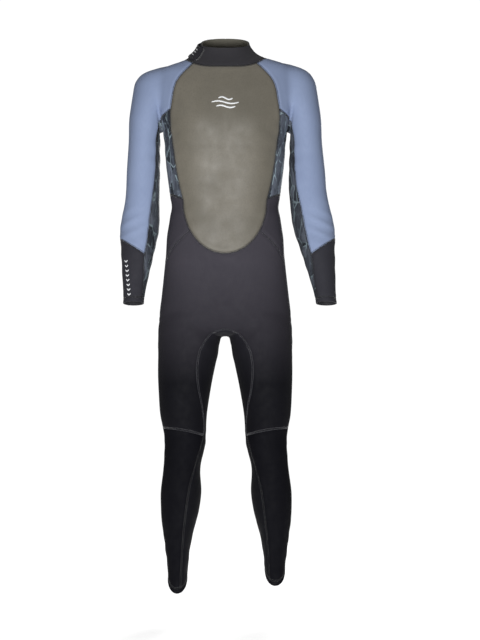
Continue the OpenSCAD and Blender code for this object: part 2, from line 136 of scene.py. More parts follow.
# ---- Cross-sections: height, centre X, half width, front Y, back Y ----
TORSO = [(z, 0, half, front, float(spine(z))) for z, half, front in [
    (34, 60, -60), (16, 62, -61), (0, 66, -62), (-8, 70, -63), (-24, 84, -65), (-38, 108, -69),
    (-50, 146, -75), (-62, 172, -81), (-74, 182, -87), (-88, 187, -92), (-120, 190, -103),
    (-160, 184, -113), (-200, 174, -118), (-240, 164, -119), (-280, 160, -116), (-320, 157, -110),
    (-375, 150, -105), (-431, 142, -102), (-455, 145, -101)]] + [
    (-487, 0, 151, -101, 82), (-519, 0, 155, -101, 87), (-567, 0, 158, -100, 100),
    (-630, 0, 164.5, -97, 115), (-673, 0, 169.5, -95, 119), (-700, 0, 173, -93, 118),
    (-720, 0, 174, -90, 113),
    (-736, 0, 168, -86, 107), (-750, 0, 130, -80, 98), (-762, 0, 76, -70, 82), (-770, 0, 26, -52, 60),
    (-775, 0, 8, -36, 40)]
ARM = [
    (-56, 166, 8, -6, 10), (-66, 174, 27, -25, 32), (-76, 180, 39, -37, 45), (-88, 185, 46, -45, 53),
    (-104, 189.5, 50.5, -51, 59), (-130, 193, 52, -55, 63), (-160, 199, 51, -56, 64),
    (-200, 209, 46.5, -52, 63), (-258, 214.5, 42.5, -46, 60), (-330, 217.5, 44, -41, 59),
    (-407, 220.5, 45.5, -35, 61), (-487, 228, 52, -29, 66), (-551, 233, 44, -35, 51),
    (-614, 238, 35.5, -39, 31), (-678, 242, 27.5, -44, 9), (-740, 245, 26.5, -54, -4)]
LEG = [
    (-690, 86, 50, -56, 70), (-704, 87, 64, -68, 88), (-718, 89.5, 76, -78, 100), (-728, 91, 81, -81, 103),
    (-738, 92.3, 83.2, -82, 104), (-756, 94, 83.8, -84, 103), (-779, 95.5, 82.5, -84, 101),
    (-800, 97, 81.5, -84, 97), (-822, 98.5, 79.5, -83, 92),
    (-870, 104, 74.5, -81, 82), (-918, 108, 69, -78, 74), (-981, 111, 62, -72, 64),
    (-1029, 108, 56, -67, 56), (-1061, 108, 54, -65, 54), (-1125, 117, 49, -55, 66),
    (-1189, 120, 54, -46, 77), (-1237, 123, 51, -42, 77), (-1269, 126, 46, -38, 73),
    (-1301, 128, 39.5, -33, 67), (-1333, 129.5, 34, -28, 62), (-1365, 129.5, 30, -24, 58),
    (-1397, 129.5, 27, -22, 55), (-1436, 130, 25.5, -22, 52), (-1500, 130, 26, -28, 48)]


class Part:
    """One body part's distance function, from its cross-sections."""

    def __init__(self, rows, exponent, side=0):
        self.columns = [table(rows, i) for i in range(1, 5)]
        self.top, self.low = rows[0][0], rows[-1][0]
        self.exponent, self.side = exponent, side

    def distance(self, x, y, z):
        centre, half, front, back = (column(z) for column in self.columns)
        if self.side:
            centre = self.side * centre
        if self.side == 1 and self.top > -500:
            centre = centre + left_splay(z)
            half = half + LEFT_SLEEVE_EASE * np.exp(-((z + 400) / 110) ** 2)
        u = np.abs((x - centre) / half)
        mid, depth = (front + back) / 2, (back - front) / 2
        v = np.abs((y - mid) / depth)
        rho = (u ** self.exponent + v ** self.exponent) ** (1 / self.exponent) + 1e-6
        radius = np.hypot(x - centre, y - mid)
        inside = np.minimum(half, depth)
        wall = np.where(rho < 0.3, (rho - 1) * inside, radius * (1 - 1 / rho))
        return np.maximum(np.maximum(wall, z - self.top), self.low - z)


def left_splay(z):
    return LEFT_SPLAY * np.maximum(0, (-380 - z) / 298)


def smooth_min(a, b, k):
    h = np.clip(0.5 + 0.5 * (b - a) / k, 0, 1)
    return b + (a - b) * h - k * h * (1 - h)


def stance(x, z):
    """The suit doesn't hang quite evenly: the left shoulder is higher, and the shins lean left."""
    reach = np.clip((np.abs(x) - 40) / 70, 0, 1)
    high = LEFT_SHOULDER_RISE * np.exp(-((z + 72) / 34) ** 2)
    low = RIGHT_SHOULDER_DROP * np.exp(-((z + 54) / 22) ** 2)
    lean = SHIN_LEAN * np.clip((-880 - z) / 350, 0, 1)
    return x - lean, z - reach * np.where(x > 0, high, -low)


torso = Part(TORSO, 2.3)
arms = [Part(ARM, 2, side) for side in (-1, 1)]
legs = [Part(LEG, 2, side) for side in (-1, 1)]


def field(p):
    """Signed distance, roughly, from the suit's outer surface before it wrinkles."""
    x, z = stance(p[..., 0], p[..., 2])
    y = p[..., 1]
    d = torso.distance(x, y, z)
    tight = 6 + 10 * np.clip((z + 215) / 60, 0, 1)      # the armpit's crease is sharp, the shoulder soft
    for arm in arms:
        d = smooth_min(d, arm.distance(x, y, z), tight)
    for leg in legs:
        d = smooth_min(d, leg.distance(x, y, z), 10)
    return d


def gradient(f, p, step=0.5):
    g = np.empty_like(p)
    for axis in range(3):
        d = np.zeros(3)
        d[axis] = step
        g[:, axis] = (f(p + d) - f(p - d)) / (2 * step)
    return g


def project(p, rounds=4):
    for _ in range(rounds):
        g = gradient(field, p)
        move = g * (field(p) / np.maximum((g ** 2).sum(1), 0.05))[:, None]
        p = p - np.clip(move, -3, 3)
    return p


def normals_at(p):
    g = gradient(field, p, 2.0)
    return g / np.linalg.norm(g, axis=1)[:, None]


def make_skin():
    """The suit's outer surface as triangles."""
    low = np.array([-330.0, -150.0, -1490.0])
    size = np.array([660.0, 300.0, 1526.0])
    count = (size / GRID).astype(int) + 1
    axes = [low[i] + GRID * np.arange(count[i]) for i in range(3)]
    values = np.empty(count, np.float32)
    for k in range(count[2]):
        x, y = np.meshgrid(axes[0], axes[1], indexing="ij")
        values[:, :, k] = field(np.stack([x, y, np.full_like(x, axes[2][k])], -1))
    values = np.clip(values, -3 * GRID, 3 * GRID)
    volume = openvdb.FloatGrid(3 * GRID)
    volume.copyFromArray(values)
    points, quads = volume.convertToQuads(0.0)
    points = low + GRID * np.asarray(points, float)
    quads = np.asarray(quads)
    tris = np.concatenate([quads[:, [0, 1, 2]], quads[:, [0, 2, 3]]])
    return project(points), tris


# ---- Seams: each is a function of place that is zero along the seam ----
def front_of(p):
    return p[:, 1] < 0


CHEST = curve([(-40, 60), (-61, 88), (-104, 126), (-154, 139), (-194, 144), (-231, 143), (-269, 138),
               (-327, 130), (-375, 121), (-420, 110)])
CHEST_ROUND, CHEST_END = -420, -557
ARM_SIDE = [(-250, 170), (-300, 168), (-480, 168), (-600, 183), (-760, 200)]
RAGLAN_FRONT = curve([(RAGLAN_TOP, 142), (-186, 153), (-194, 164), (-200, 170), (-212, 172.5),
                      (-230, 172)] + ARM_SIDE)
RAGLAN_BACK = curve([(-36, 76), (-60, 86), (-90, 104), (-130, 126), (-170, 148), (-200, 164),
                     (-225, 171)] + ARM_SIDE)
SIDE_BACK = curve([(-150, 150), (-190, 144), (-250, 130), (-330, 114), (-420, 100)])
WAIST = curve([(0, -470), (50, -438), (90, -420), (110, -414), (142, -401), (170, -398)])
HIP_SEAM = curve([(-470, 62), (-495, 88), (-511, 108), (-537, 134), (-569, 153), (-604, 172), (-640, 230)])
INNER_LEG = curve([(-756, 0), (-758, 14), (-762, 24), (-770, 38), (-799, 60), (-831, 70), (-864, 73),
                   (-913, 69), (-966, 59), (-1029, 56), (-1100, 74), (-1165, 92), (-1242, 104),
                   (-1333, 113), (-1470, 119)])
UNDERARM = curve([(-205, 166), (-225, 176), (-250, 181), (-306, 182.5), (-350, 185), (-400, 191),
                  (-450, 198), (-520, 206), (-564, 213), (-620, 214), (-735, 224)])
LEG_FRONT, LEG_BACK = table(LEG, 3), table(LEG, 4)


def along_arm(p):
    return np.abs(p[:, 0]) - np.where(p[:, 0] > 0, left_splay(p[:, 2]), 0)


def collar_seam(p):
    x = np.abs(p[:, 0]) / 105
    return p[:, 2] - np.where(front_of(p), -67 + 26 * x ** 4, -58 + 17 * x ** 2)


def collar_top(p):
    return p[:, 2] - COLLAR_MIDDLE - COLLAR_SLOPE * p[:, 1]


def chest_seam(p):
    x, z = np.abs(p[:, 0]), p[:, 2]
    half = CHEST(np.full(1, CHEST_ROUND))[0]
    low = (np.hypot(x / half, (z - CHEST_ROUND) / (CHEST_ROUND - CHEST_END)) - 1) * half
    side = np.where(z > CHEST_ROUND, x - CHEST(z), low)
    return np.where(front_of(p), side, 50.0)


def sleeve_seam(p):
    x, z = np.abs(p[:, 0]), p[:, 2]
    front = np.where(z > RAGLAN_TOP, x - CHEST(z), x - RAGLAN_FRONT(z))
    return np.where(front_of(p), front, x - RAGLAN_BACK(z))


def side_back_seam(p):
    return np.abs(p[:, 0]) - SIDE_BACK(p[:, 2])


def waist_seam(p):
    return p[:, 2] - WAIST(np.abs(p[:, 0]))


def hip_seam(p):
    return np.abs(p[:, 0]) - HIP_SEAM(p[:, 2])


def side_line(z):
    return np.where(z > -740, -8, (LEG_FRONT(z) + LEG_BACK(z)) / 2 - 12)


def leg_side_seam(p):
    return p[:, 1] - side_line(p[:, 2])


def inner_leg_seam(p):
    return np.abs(p[:, 0]) - INNER_LEG(p[:, 2])


def knee_seam(p):
    return p[:, 2] + 1016 + 14 * ((150 - np.abs(p[:, 0])) / 80) ** 2


def underarm_seam(p):
    return along_arm(p) - UNDERARM(p[:, 2])


def cuff_seam(p):
    return p[:, 2] + 559 - (along_arm(p) - 213) * 0.64 + 0.1 * p[:, 1]


def wrist_line(p):
    return p[:, 2] - WRIST_Z + p[:, 1] * WRIST_SLOPE


def ankle_line(p):
    low = np.where(p[:, 0] > 0, ANKLE_LOW[1], ANKLE_LOW[-1])
    return p[:, 2] - low - (p[:, 1] + 22) * ANKLE_SLOPE


def is_arm(p):
    return (sleeve_seam(p) > 0) & (collar_seam(p) < 0)


def is_body(p):
    return ~is_arm(p)


def anywhere(p):
    return np.ones(len(p), bool)


def behind(p):
    return p[:, 1] > BACK_Y


def by_zip(p):
    return behind(p) & (np.abs(p[:, 0]) < 30)


# Each seam or edge to cut along, the lowest and highest Z at which it is cut, and where else it is
SEAMS = [
    (collar_top, -30, TOP, anywhere),
    (collar_seam, -90, TOP, anywhere),
    (chest_seam, -600, -30, lambda p: p[:, 1] < 5),
    (sleeve_seam, -290, -30, anywhere),
    (side_back_seam, -430, -170, lambda p: (p[:, 1] > 0) & is_body(p)),
    (waist_seam, -500, -380, is_body),
    (hip_seam, -640, -470, lambda p: (p[:, 1] < 20) & is_body(p)),
    (leg_side_seam, BOTTOM, -560, is_body),
    (inner_leg_seam, BOTTOM, -750, is_body),
    (knee_seam, -1060, -980, lambda p: p[:, 1] < 20),
    (underarm_seam, BOTTOM, UNDERARM_TOP, is_arm),
    (cuff_seam, -640, -450, is_arm),
    (wrist_line, BOTTOM, WRIST_TOP, is_arm),
    (lambda p: wrist_line(p) - HEM, BOTTOM, WRIST_TOP, is_arm),
    (ankle_line, BOTTOM, ANKLE_TOP, anywhere),
    (lambda p: ankle_line(p) - HEM, BOTTOM, ANKLE_TOP, anywhere),
    (lambda p: p[:, 2] - ARM_SPLIT, BOTTOM, TOP, is_arm),
    (lambda p: p[:, 2] - LEG_SPLIT, BOTTOM, -900, anywhere),
    (lambda p: p[:, 0], BOTTOM, TOP, is_body),
    (lambda p: np.abs(p[:, 0]) - ZIP_HALF, -480, TOP, behind),
    (lambda p: np.abs(p[:, 0]) - SLIT_HALF, -60, TOP, behind),
    (lambda p: p[:, 2] - SLOT_BOTTOM, BOTTOM, TOP, by_zip),
    (lambda p: p[:, 2] - SLOT_TOP, BOTTOM, TOP, by_zip),
]


def directed_edges(tris):
    return np.concatenate([tris[:, [0, 1]], tris[:, [1, 2]], tris[:, [2, 0]]])


def split(points, tris, function, low, high, where):
    """Cut the triangles along the function's zero line, between two heights and where it is wanted."""
    use = where(points) & (points[:, 2] > low) & (points[:, 2] < high)
    g = np.where(use, function(points), np.nan)
    edges = np.sort(directed_edges(tris), axis=1).astype(np.int64)
    edges = edges[g[edges[:, 0]] * g[edges[:, 1]] < 0]
    edges = np.stack(np.divmod(np.unique(edges[:, 0] * len(points) + edges[:, 1]), len(points)), 1)
    a, b = edges.T
    t = g[a] / (g[a] - g[b])
    # A vertex close to the line moves onto it, so that no sliver is left
    for near, far, share in ((a, b, t), (b, a, 1 - t)):
        close = share < 0.22
        order = np.argsort(-share[close])
        i, j, s = near[close][order], far[close][order], share[close][order]
        points[i] = points[i] + (points[j] - points[i]) * s[:, None]
        g[i] = 0
    crossing = g[edges[:, 0]] * g[edges[:, 1]] < 0
    a, b = edges[crossing].T
    t = g[a] / (g[a] - g[b])
    fresh = points[a] + (points[b] - points[a]) * t[:, None]
    start = len(points)
    points = np.concatenate([points, fresh])
    keys = a * start + b
    order = np.argsort(keys)
    keys = keys[order]

    def middle(i, j):
        k = np.minimum(i, j).astype(np.int64) * start + np.maximum(i, j)
        at = np.clip(np.searchsorted(keys, k), 0, max(len(keys) - 1, 0))
        found = keys[at] == k
        return np.where(found, start + order[at], -1)

    if not len(keys):
        return points, tris
    cut = np.stack([middle(tris[:, i], tris[:, (i + 1) % 3]) for i in range(3)], 1)
    number = (cut >= 0).sum(1)
    result = [tris[number == 0]]
    one, where = tris[number == 1], cut[number == 1]
    for i in range(3):
        pick = where[:, i] >= 0
        v, m = one[pick], where[pick, i]
        result += [np.stack([v[:, i], m, v[:, (i + 2) % 3]], 1),
                   np.stack([m, v[:, (i + 1) % 3], v[:, (i + 2) % 3]], 1)]
    two, where = tris[number == 2], cut[number == 2]
    for i in range(3):
        pick = where[:, i] < 0
        v = two[pick]
        m, n = where[pick, (i + 1) % 3], where[pick, (i + 2) % 3]
        result += [np.stack([m, v[:, (i + 2) % 3], n], 1),
                   np.stack([v[:, i], v[:, (i + 1) % 3], m], 1),
                   np.stack([v[:, i], m, n], 1)]
    return points, np.concatenate(result)


def label(c):
    """The panel's name at each place, and '' where there is no neoprene."""
    x, y, z = c.T
    side = np.where(x > 0, "left_", "right_")
    name = np.full(len(c), "", dtype="U32")
    arm = is_arm(c)
    body = ~arm
    front = leg_side_seam(c) < 0
    under = (underarm_seam(c) < 0) & (z < UNDERARM_TOP)
    upper = z > ARM_SPLIT
    with_side = lambda text: np.char.add(side, text)

    def put(where, what):
        free = where & (name == "")
        name[free] = np.broadcast_to(what, len(c))[free]

    gone = (collar_top(c) > 0) | (arm & (wrist_line(c) < 0)) | (ankle_line(c) < 0) & (z < ANKLE_TOP)
    slot = (np.abs(x) < ZIP_HALF) & (y > BACK_Y) & (z > SLOT_BOTTOM) & (z < SLOT_TOP)
    slit = (np.abs(x) < SLIT_HALF) & (y > BACK_Y) & (z >= SLOT_TOP)
    put(gone | slot, "-")
    put(slit & (collar_seam(c) > 0), "slit")
    put(slit, "-")
    put(collar_seam(c) > 0, "collar")
    put(arm & (z < WRIST_TOP) & (wrist_line(c) < HEM), with_side("wrist_hem"))
    put(arm & under & upper, with_side("underarm_upper"))
    put(arm & under & ~upper, with_side("underarm_lower"))
    put(arm & upper, with_side("sleeve_shoulder"))
    put(arm & (cuff_seam(c) > 0), with_side("sleeve_elbow"))
    put(arm, with_side("cuff"))
    put(chest_seam(c) < 0, "chest_panel")
    high = body & (waist_seam(c) > 0)
    put(high & ((y < 0) | (side_back_seam(c) > 0)), with_side("side_panel"))
    put(high, with_side("back_panel"))
    inner = body & (z < CROTCH_Z) & (inner_leg_seam(c) < 0)
    thigh = z > LEG_SPLIT
    ankle = body & (z < ANKLE_TOP) & (ankle_line(c) < HEM)
    put(ankle, with_side("ankle_hem"))
    put(inner & thigh, with_side("gusset"))
    put(inner, with_side("inner_leg"))
    low = hip_seam(c) < 0
    put(front & thigh & (low | (z < -640)), with_side("front_panel"))
    put(thigh, with_side("seat_panel"))
    put(front & (knee_seam(c) > 0), with_side("knee_top"))
    put(front, with_side("shin_panel"))
    put(body, with_side("calf_panel"))
    name[name == "-"] = ""
    return name


# ---- Folds and the shape of the neoprene near its seams ----
def folds(p, n):
    """How far the neoprene stands out or sinks at each place, in millimetres."""
    x, y, z = p.T
    ax = np.abs(x)
    arm_x = along_arm(p)
    out = np.zeros(len(p))
    bump = lambda v, mid, width: np.exp(-((v - mid) / width) ** 2)

    def ripple(size, mid, width, phase, level=0.5, power=1.0):
        """Small folds about one height."""
        return size * bump(z, mid, width) * ((0.5 + 0.5 * np.sin(phase)) ** power - level)

    phase = np.where(x > 0, 0.7, 0.0)
    rear = y > 0
    arm = (arm_x > 166) & (z < -150)
    # Inside of the elbow, and round it
    out += arm * ripple(2.2, -478, 42, z / 5.2 + arm_x / 11 + phase, 0.45, 1.5) * bump(n[:, 1], -1, 0.9)
    out += arm * ripple(1.2, -560, 60, z / 7.5 - arm_x / 9 + 2 * phase)
    out += arm * ripple(1.6, -300, 60, z / 7.0 + y / 10 + phase) * bump(n[:, 0] * np.sign(x), -1, 0.9)
    # The crease where the arm lies against the body
    crease = bump(ax, 176 - 0.1 * np.clip(-170 - z, 0, 90), 3.5)
    out -= 5.0 * crease * np.clip((-158 - z) / 25, 0, 1) * np.clip((z + 275) / 20, 0, 1)
    # Armpits and the chest's sides
    out += ~arm * ripple(1.5, -250, 60, z / 7.0 + ax / 9 + phase) * bump(ax, 150, 25)
    # Waist
    out += ~arm * ripple(1.1, -455, 60, z / 8.5 + ax / 30 + phase) * bump(ax, 130, 60)
    out += ~arm * ripple(1.3, -500, 55, z / 8.0 + 0.3 * np.sin(x / 22)) * rear
    # Crotch and tops of the thighs
    out += ~arm * ripple(1.8, -770, 55, z / 8.5 - ax / 10 + phase) * bump(ax, 60, 60)
    out += ~arm * ripple(1.5, -800, 30, z / 7.0 + ax / 26) * rear
    # Behind the knees, and the knees' fronts
    out += ~arm * ripple(2.4, -1052, 40, z / 5.4 + ax / 20 + phase, 0.4, 1.5) * bump(n[:, 1], 1, 0.9)
    out += ~arm * ripple(1.0, -1085, 45, z / 8.0 + ax / 14 + phase) * bump(n[:, 1], -1, 0.9)
    # Ankles and shins
    out += ~arm * ripple(1.3, -1340, 60, z / 7.5 + ax / 7 + y / 11 + phase)
    # Broad, slow unevenness of a filled suit
    out += np.where(y < 0, 0.5, 0.9) * np.sin(x / 37 + 1.3) * np.sin(z / 61) * np.sin(y / 41 + z / 83)
    # Muscles of the chest, the hollow between them and the one below
    out += (y < 0) * (4.0 * bump(z, -215, 42) * bump(ax, 62, 46) - 3.0 * bump(ax, 0, 16) * bump(z, -230, 80)
                      - 2.5 * bump(z, -272, 20) * bump(ax, 64, 55))
    below_collar = np.clip((-60 - z) / 60, 0, 1)
    beside_zip = np.clip((ax - 16) / 14, 0, 1)
    return out * below_collar * np.where((y > BACK_Y) & (z > -500), beside_zip, 1)


def seam_dip(distance):
    """How the neoprene dips along a seam and swells a little beside it."""
    return 0.5 * np.exp(-((distance - 9) / 5) ** 2) - 0.9 * np.exp(-(distance / 3.5) ** 2)


points, tris = make_skin()
for seam in SEAMS:
    points, tris = split(points, tris, *seam)
points = project(points, 2)
names = label(points[tris].mean(1))
normals = normals_at(points)

# Panels that one cut piece of neoprene makes, although it is split where no seam shows
WHOLE = {"sleeve_shoulder": "sleeve", "sleeve_elbow": "sleeve", "underarm_upper": "underarm",
         "underarm_lower": "underarm", "front_panel": "front", "knee_top": "front", "seat_panel": "seat",
         "calf_panel": "seat", "gusset": "inner", "inner_leg": "inner"}
MIDDLE = ("front", "seat", "inner")     # these run across the centre line


def whole(name):
    side, _, part = name.partition("_")
    if side not in SIDES:
        return "" if name == "slit" else name
    one = WHOLE.get(part, part)
    return one if one in MIDDLE else side + "_" + one


families = {name: whole(name) for name in np.unique(names)}
family_list = sorted(set(families.values()))
family = np.array([family_list.index(families[name]) for name in names])


def edge_pairs(tris):
    """Every edge once, with the two triangles on it (-1 where there is none)."""
    owner = np.tile(np.arange(len(tris)), 3)
    key = np.sort(directed_edges(tris), axis=1)
    order = np.lexsort((key[:, 1], key[:, 0]))
    key, owner = key[order], owner[order]
    first = np.ones(len(key), bool)
    first[1:] = (key[1:] != key[:-1]).any(1)
    starts = np.flatnonzero(first)
    after = owner[np.minimum(starts + 1, len(owner) - 1)]
    second = np.where(np.append(first[1:], True)[starts], -1, after)
    return key[starts], owner[starts], second


edges, tri_a, tri_b = edge_pairs(tris)
paired = tri_b >= 0
EMPTY = family_list.index("") if "" in family_list else -1
fam_a, fam_b = family[tri_a], np.where(paired, family[tri_b], EMPTY)
is_seam = (fam_a != fam_b) & (fam_a != EMPTY) & (fam_b != EMPTY)
is_rim = (fam_a != fam_b) & ~is_seam

# The neoprene dips a little along each seam, and folds where the body bends
lift = folds(points, normals)
seam_vertices = np.unique(edges[is_seam])
tree = KDTree(len(seam_vertices))
for k, p in enumerate(points[seam_vertices]):
    tree.insert(p, k)
tree.balance()
used = np.unique(tris[names != ""])
seam_distance = np.full(len(points), 99.0)
for k in used:
    seam_distance[k] = tree.find(points[k])[2]
lift += seam_dip(seam_distance)
outer = points + normals * lift[:, None]


# ---- Materials ----
def linear(r, g, b):
    return [((v / 255 + 0.055) / 1.055) ** 2.4 if v > 10 else v / 255 / 12.92 for v in (r, g, b)] + [1]


class Nodes:
    """A short way to write a material's nodes."""

    def __init__(self, name, roughness, sheen=0.0, specular=0.5, metallic=0.0):
        self.material = bpy.data.materials.new(name)
        self.material.use_nodes = True
        self.tree = self.material.node_tree
        self.shader = self.tree.nodes["Principled BSDF"]
        for socket, value in (("Roughness", roughness), ("Sheen Weight", sheen), ("Metallic", metallic),
                              ("Specular IOR Level", specular), ("Sheen Roughness", 0.45)):
            self.shader.inputs[socket].default_value = value
        self.place = self.node("ShaderNodeTexCoord").outputs["Object"]

    def node(self, kind, **settings):
        node = self.tree.nodes.new(kind)
        for key, value in settings.items():
            setattr(node, key, value)
        return node

    def link(self, value, socket):
        if isinstance(value, bpy.types.NodeSocket):
            self.tree.links.new(value, socket)
        else:
            socket.default_value = value

    def made(self, kind, output, inputs, **settings):
        """A new node's output; inputs gives each socket a value or another node's output."""
        node = self.node(kind, **settings)
        for socket, value in inputs.items():
            self.link(value, node.inputs[socket])
        return node.outputs[output]

    def scaled(self, scale, turn):
        return self.made("ShaderNodeMapping", "Vector", {"Vector": self.place, "Scale": scale,
                                                         "Rotation": turn})

    def noise(self, scale, detail=3, rough=0.5, vector=None, output="Fac"):
        return self.made("ShaderNodeTexNoise", output, {"Vector": vector or self.place, "Scale": scale,
                                                        "Detail": detail, "Roughness": rough})

    def bands(self, scale, direction, distortion):
        return self.made("ShaderNodeTexWave", "Fac", {"Vector": self.place, "Scale": scale,
                                                      "Distortion": distortion}, bands_direction=direction)

    def cells(self, scale, vector, feature="DISTANCE_TO_EDGE", output="Distance"):
        return self.made("ShaderNodeTexVoronoi", output, {"Vector": vector, "Scale": scale}, feature=feature)

    def math(self, kind, a, b):
        return self.made("ShaderNodeMath", 0, {0: a, 1: b}, operation=kind)

    def part(self, vector, axis):
        return self.made("ShaderNodeSeparateXYZ", axis, {"Vector": vector})

    def ranged(self, value, low, high, to_low=0.0, to_high=1.0):
        return self.made("ShaderNodeMapRange", "Result", {"Value": value, "From Min": low, "From Max": high,
                                                          "To Min": to_low, "To Max": to_high})

    def mix(self, share, a, b):
        # The colour sockets are 6 and 7, after the ones for numbers and vectors
        return self.made("ShaderNodeMix", 2, {0: share, 6: a, 7: b}, data_type="RGBA")

    def finish(self, colour, bump=None, strength=0.2, distance=0.0003):
        self.link(colour, self.shader.inputs["Base Color"])
        if bump is not None:
            normal = self.made("ShaderNodeBump", "Normal", {"Strength": strength, "Distance": distance,
                                                            "Height": bump})
            self.link(normal, self.shader.inputs["Normal"])
        return self.material


def knit(m):
    """The rows and columns of a fine nylon jersey, as a height."""
    columns = m.math("MAXIMUM", m.bands(150, "X", 1.5), m.bands(150, "Y", 1.5))
    return m.math("ADD", m.bands(210, "Z", 1.2), columns)


def fuzz(m, weave):
    """The bump of a knit, with its loose fibres."""
    return m.math("ADD", m.math("MULTIPLY", weave, 0.5), m.noise(900, 2))


def jersey(name, colour, worn, sheen=0.06, low=None, specular=0.2):
    """Knitted nylon on neoprene; low is the pair of colours that it darkens to lower on the legs, as painted
    shade where less light falls.
    """
    m = Nodes(name, 0.72, sheen=sheen, specular=specular)
    base = colour
    # Painted shade: the colours darken from hip height to just above the knees, in place of light that falls
    # off lower on the body.
    if low:
        painted_shade_down = m.ranged(m.part(m.place, "Z"), -0.58, -0.9)
        base = m.mix(painted_shade_down, colour, low[0])
        worn = m.mix(painted_shade_down, worn, low[1])
    weave = knit(m)
    base = m.mix(m.ranged(weave, 0.3, 2.0, 0.0, 0.28), base, worn)
    base = m.mix(m.ranged(m.noise(9, 4, 0.6), 0.38, 0.75, 0.0, 0.35), base, worn)
    m.link(m.ranged(m.noise(60, 3), 0.3, 0.7, 0.62, 0.82), m.shader.inputs["Roughness"])
    return m.finish(base, fuzz(m, weave), 0.35, 0.00035)


def smooth_skin():
    m = Nodes("smooth_skin", 0.5, sheen=0.1, specular=0.42)
    base = m.mix(m.ranged(m.noise(5, 4, 0.6), 0.35, 0.7), linear(101, 97, 87), linear(116, 111, 100))
    base = m.mix(m.ranged(m.noise(420, 2), 0.45, 0.7, 0.0, 0.35), base, linear(80, 77, 69))
    m.link(m.ranged(m.noise(35, 4), 0.3, 0.7, 0.42, 0.58), m.shader.inputs["Roughness"])
    pores = m.cells(1500, m.place, "F1")
    return m.finish(base, m.math("ADD", pores, m.noise(240, 3)), 0.22, 0.0003)


def printed(name, shade=0.0):
    """A print of long shards, each of its own grey-blue, with thin broken light lines between them; shade is
    a share of painted shade that darkens all of it towards near black.
    """
    m = Nodes(name, 0.7, sheen=0.05, specular=0.2)
    push = m.made("ShaderNodeVectorMath", 0, {0: m.noise(11, 2, output="Color"), "Scale": 0.035},
                  operation="SCALE")
    long = m.scaled((1.3, 0.8, 0.42), (0.25, 0.55, 0.3))
    bent = m.made("ShaderNodeVectorMath", 0, {0: long, 1: push}, operation="ADD")
    tone = m.part(m.cells(38, bent, "F1", "Color"), "X")
    broken = m.ranged(m.noise(45, 2), 0.4, 0.5)
    line = m.math("MULTIPLY", m.ranged(m.cells(38, bent), 0.02, 0.045, 1.0, 0.0), broken)
    vein = m.ranged(m.cells(80, bent), 0.015, 0.05, 0.4, 0.0)
    streak = m.ranged(m.noise(60, 3, vector=bent), 0.5, 0.62, 0.0, 0.5)
    base = m.mix(m.ranged(tone, 0.1, 0.9), linear(36, 40, 48), linear(124, 131, 146))
    base = m.mix(streak, base, linear(40, 45, 53))
    base = m.mix(vein, base, linear(118, 132, 142))
    base = m.mix(line, base, linear(150, 168, 176))
    # Painted shade: the whole print darkens by the share given as shade.
    base = m.mix(shade, base, linear(16, 17, 21))
    weave = knit(m)
    base = m.mix(m.ranged(weave, 0.3, 2.0, 0.0, 0.25), base, linear(16, 18, 24))
    return m.finish(base, fuzz(m, weave), 0.35, 0.00035)


def thread(name, colour, dark):
    m = Nodes(name, 0.55, sheen=0.3, specular=0.4)
    twist = m.bands(900, "DIAGONAL", 2.0)
    return m.finish(m.mix(m.ranged(twist, 0.2, 0.9), dark, colour), twist, 0.3, 0.0002)


def tape_weave(name, colour, light):
    m = Nodes(name, 0.65, sheen=0.3, specular=0.35)
    herringbone = m.math("MULTIPLY", m.bands(320, "Z", 0.5), m.bands(320, "X", 0.5))
    base = m.mix(m.ranged(herringbone, 0.1, 0.8, 0.0, 0.5), colour, light)
    return m.finish(base, herringbone, 0.6, 0.0004)


def hook_tape(name, colour, light, scale):
    m = Nodes(name, 0.9, sheen=0.5, specular=0.2)
    loops = m.cells(scale, m.place, "F1")
    return m.finish(m.mix(m.ranged(loops, 0.1, 0.7), light, colour), loops, 1.0, 0.0012)


def moulded(name, colour, light):
    m = Nodes(name, 0.38, specular=0.5)
    grain = m.noise(500, 3)
    m.link(m.ranged(m.noise(70, 3), 0.3, 0.7, 0.3, 0.5), m.shader.inputs["Roughness"])
    return m.finish(m.mix(m.ranged(grain, 0.4, 0.7, 0.0, 0.5), colour, light), grain, 0.2, 0.0002)


def metal(name):
    m = Nodes(name, 0.3, specular=0.5, metallic=1.0)
    wear = m.noise(160, 5, 0.65)
    m.link(m.ranged(wear, 0.3, 0.7, 0.22, 0.42), m.shader.inputs["Roughness"])
    base = m.mix(m.ranged(wear, 0.45, 0.7), linear(150, 151, 154), linear(118, 119, 122))
    return m.finish(base, wear, 0.15, 0.0002)


def mark_paint():
    m = Nodes("mark_print", 0.5, specular=0.4)
    cracks = m.noise(380, 4, 0.7)
    base = m.mix(m.ranged(cracks, 0.55, 0.75, 0.0, 0.5), linear(232, 234, 236), linear(150, 150, 148))
    return m.finish(base, cracks, 0.2, 0.0002)


BLUE = jersey("blue_jersey", linear(136, 150, 180), linear(116, 129, 160))
BLACK = jersey("black_jersey", linear(34, 34, 40), linear(48, 47, 54), specular=0.12)
CUFF = jersey("cuff_jersey", linear(44, 44, 50), linear(58, 57, 64), specular=0.12)
DEEP = jersey("shin_jersey", linear(8, 8, 13), linear(14, 14, 20), sheen=0.0, specular=0.08)
# The charcoal and inner leg jerseys carry painted shade that darkens them lower on the legs.
CHARCOAL = jersey("charcoal_jersey", linear(58, 56, 63), linear(68, 65, 72), sheen=0.02, specular=0.1,
                  low=(linear(10, 10, 15), linear(16, 16, 22)))
INNER = jersey("inner_leg_jersey", linear(42, 41, 48), linear(52, 51, 58), sheen=0.02, specular=0.1,
               low=(linear(9, 9, 14), linear(14, 14, 20)))
COLLAR_CLOTH = jersey("collar_jersey", linear(50, 49, 53), linear(60, 59, 63), specular=0.12)
SMOOTH = smooth_skin()
PRINT = printed("printed_jersey")
